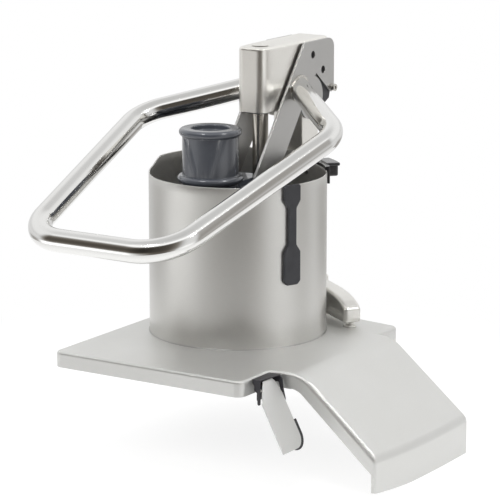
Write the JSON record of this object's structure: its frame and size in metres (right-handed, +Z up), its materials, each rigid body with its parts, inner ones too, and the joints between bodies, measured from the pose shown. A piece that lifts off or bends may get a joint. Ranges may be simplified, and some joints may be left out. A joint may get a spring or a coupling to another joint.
{
  "type": "vegetable cutter feed head",
  "caption": "Lever operated feed head of a vegetable cutter: steel lid with a chute hood, open round hopper, and a loop handle that lifts a guided pusher with a small inner pusher.",
  "frame": {"origin": "on the hopper's axis, in the plane of the lid rim's lower edge", "axes": "+X towards the discharge chute, -Y towards the handle's front bar, +Z up along the hopper's axis"},
  "size_m": [0.3963, 0.4546, 0.4419],
  "materials": {
    "brushed_sheet": "brushed",
    "satin_sheet": "bead blasted satin",
    "polished_steel": "mirror polished",
    "bright_steel": "bright",
    "cast_alloy": "blasted casting",
    "bronze": "sintered bronze",
    "slate_plastic": "semi-gloss",
    "white_plastic": "matte",
    "black_plastic": "matte",
    "black_steel": "black coated",
    "black_rubber": "matte",
    "grey_rubber": "matte"
  },
  "bodies": {
    "head": {"lid_shell": "brushed_sheet", "hopper_foot_ring": "brushed_sheet", "hopper_shell": "satin_sheet", "rim_catch": "black_plastic", "rim_catch_rivets": "bright_steel", "rubber_strap": "grey_rubber", "strap_studs": "bright_steel", "rear_yoke": "cast_alloy", "yoke_pads": "cast_alloy", "yoke_screws": "bright_steel", "spindle_bush": "bronze", "post_spindle": "bright_steel", "spindle_screw": "bright_steel", "rear_post": "satin_sheet", "post_head_block": "cast_alloy", "head_casing": "satin_sheet", "casing_screws": "bright_steel", "guide_sleeve": "brushed_sheet", "guide_bushes": "white_plastic", "pivot_shaft": "bright_steel", "latch_bracket": "black_steel", "latch_rivets": "bright_steel", "latch_pin": "bright_steel", "latch_spring": "bright_steel"},
    "handle": {"handle_tube": "polished_steel", "side_plate_right": "brushed_sheet", "side_plate_left": "brushed_sheet", "pivot_bushes": "white_plastic", "pivot_rings": "bright_steel", "friction_pads": "black_rubber", "pad_screws": "bright_steel", "crank_studs": "bright_steel"},
    "roller_right": {"crank_roller_right": "white_plastic"},
    "roller_left": {"crank_roller_left": "white_plastic"},
    "pusher": {"guide_rod": "polished_steel", "rod_cap": "bright_steel", "rod_hub": "slate_plastic", "lift_buffer": "black_rubber", "hub_screws": "bright_steel", "rod_end_screw": "bright_steel", "pusher_plate": "slate_plastic", "feed_tube": "slate_plastic"},
    "small_pusher": {"small_pusher": "slate_plastic", "small_pusher_foot": "slate_plastic"},
    "latch": {"latch_lever": "brushed_sheet", "latch_grip": "grey_rubber", "latch_hook": "bright_steel"}
  },
  "joints": [
    {"name": "handle_lift", "type": "hinge", "parent": "head", "child": "handle", "pos_m": [0, 0.116, 0.2691], "axis": [-1, 0, 0], "range_deg": [0, 79.28]},
    {"name": "pusher_slide", "type": "slide", "parent": "head", "child": "pusher", "axis": [0, 0, 1], "range_m": [0, 0.178]},
    {"name": "small_pusher_slide", "type": "slide", "parent": "pusher", "child": "small_pusher", "axis": [0, 0, 1], "range_m": [0, 0.15]},
    {"name": "roller_right_spin", "type": "hinge", "parent": "handle", "child": "roller_right", "pos_m": [0.0196, 0.00914, 0.17943], "axis": [1, 0, 0], "continuous": true},
    {"name": "roller_left_spin", "type": "hinge", "parent": "handle", "child": "roller_left", "pos_m": [-0.0196, 0.00914, 0.17943], "axis": [1, 0, 0], "continuous": true},
    {"name": "latch_swing", "type": "hinge", "parent": "head", "child": "latch", "pos_m": [0.1345, -0.1626, 0.008], "axis": [0, -1, 0], "range_deg": [-27.5, 45]}
  ],
  "couplings": [
    {"joint": "pusher_slide", "follows": "handle_lift", "m_per_rad": 0.12863}
  ]
}
